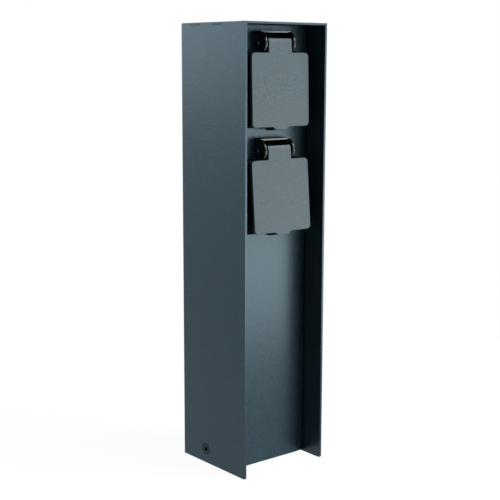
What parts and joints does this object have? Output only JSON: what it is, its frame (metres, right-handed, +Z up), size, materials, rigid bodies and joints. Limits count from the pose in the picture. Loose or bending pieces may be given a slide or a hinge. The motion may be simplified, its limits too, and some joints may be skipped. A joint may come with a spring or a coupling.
{
  "type": "outdoor socket",
  "caption": "Square folded-steel pillar standing on the ground, open at the front, with two round earthed plug wells under sprung hanging lids.",
  "frame": {"origin": "on the ground, in the middle of the column's outline", "axes": "+X to the right seen from the front, -Y out of the open front, +Z up"},
  "size_m": [0.0926, 0.0926, 0.4],
  "materials": {
    "anthracite_sheet": "anthracite fine-texture powder coat, satin",
    "anthracite_lid": "anthracite fine-texture paint on plastic, satin",
    "gloss_black": "smooth glossy black moulding",
    "matt_black": "black moulding with a fine matt skin",
    "black_rubber": "matt black rubber",
    "zinc_steel": "bright zinc-plated steel",
    "black_screw": "black-coated steel, semi-gloss",
    "brass": "plain brass",
    "white_plastic": "off-white plastic",
    "brown_wire": "brown wire insulation",
    "blue_wire": "blue wire insulation",
    "green_wire": "green and yellow wire insulation"
  },
  "bodies": {
    "column": {"housing_shell": "anthracite_sheet", "roof_plate": "anthracite_sheet", "front_panel": "anthracite_sheet", "base_plate": "zinc_steel", "base_nuts": "zinc_steel", "side_screws": "black_screw", "cable_grommet": "black_rubber", "terminal_bracket": "zinc_steel", "terminal_block": "white_plastic", "block_inserts": "brass", "block_clamp_screws": "zinc_steel", "block_fixing_screws": "zinc_steel", "cord_clamp": "matt_black", "clamp_screws": "zinc_steel", "earth_screw": "zinc_steel", "earth_lug": "zinc_steel", "live_wires": "brown_wire", "neutral_wires": "blue_wire", "earth_wires": "green_wire", "upper_frame": "gloss_black", "upper_gasket": "black_rubber", "upper_cup": "matt_black", "upper_rear_cover": "matt_black", "upper_live_contact": "brass", "upper_neutral_contact": "brass", "upper_earth_clip": "brass", "upper_terminal_screws": "zinc_steel", "upper_centre_screw": "zinc_steel", "upper_flange_screws": "zinc_steel", "upper_flange_nuts": "zinc_steel", "upper_hinge_pin": "zinc_steel", "upper_lid_spring": "zinc_steel", "lower_frame": "gloss_black", "lower_gasket": "black_rubber", "lower_cup": "matt_black", "lower_rear_cover": "matt_black", "lower_live_contact": "brass", "lower_neutral_contact": "brass", "lower_earth_clip": "brass", "lower_terminal_screws": "zinc_steel", "lower_centre_screw": "zinc_steel", "lower_flange_screws": "zinc_steel", "lower_flange_nuts": "zinc_steel", "lower_hinge_pin": "zinc_steel", "lower_lid_spring": "zinc_steel"},
    "upper_flap": {"upper_lid": "anthracite_lid", "upper_lid_seal": "black_rubber"},
    "lower_flap": {"lower_lid": "anthracite_lid", "lower_lid_seal": "black_rubber"}
  },
  "joints": [
    {"name": "upper_lid_hinge", "type": "hinge", "parent": "column", "child": "upper_flap", "pos_m": [0, -0.0284, 0.3823], "axis": [-1, 0, 0], "range_deg": [0, 90], "stiffness_Nm_per_rad": 0.02, "springref_deg": -34.38, "deforming": ["upper_lid_spring"]},
    {"name": "lower_lid_hinge", "type": "hinge", "parent": "column", "child": "lower_flap", "pos_m": [0, -0.0284, 0.2896], "axis": [-1, 0, 0], "range_deg": [-3, 87], "stiffness_Nm_per_rad": 0.02, "springref_deg": -34.38, "deforming": ["lower_lid_spring"]}
  ]
}
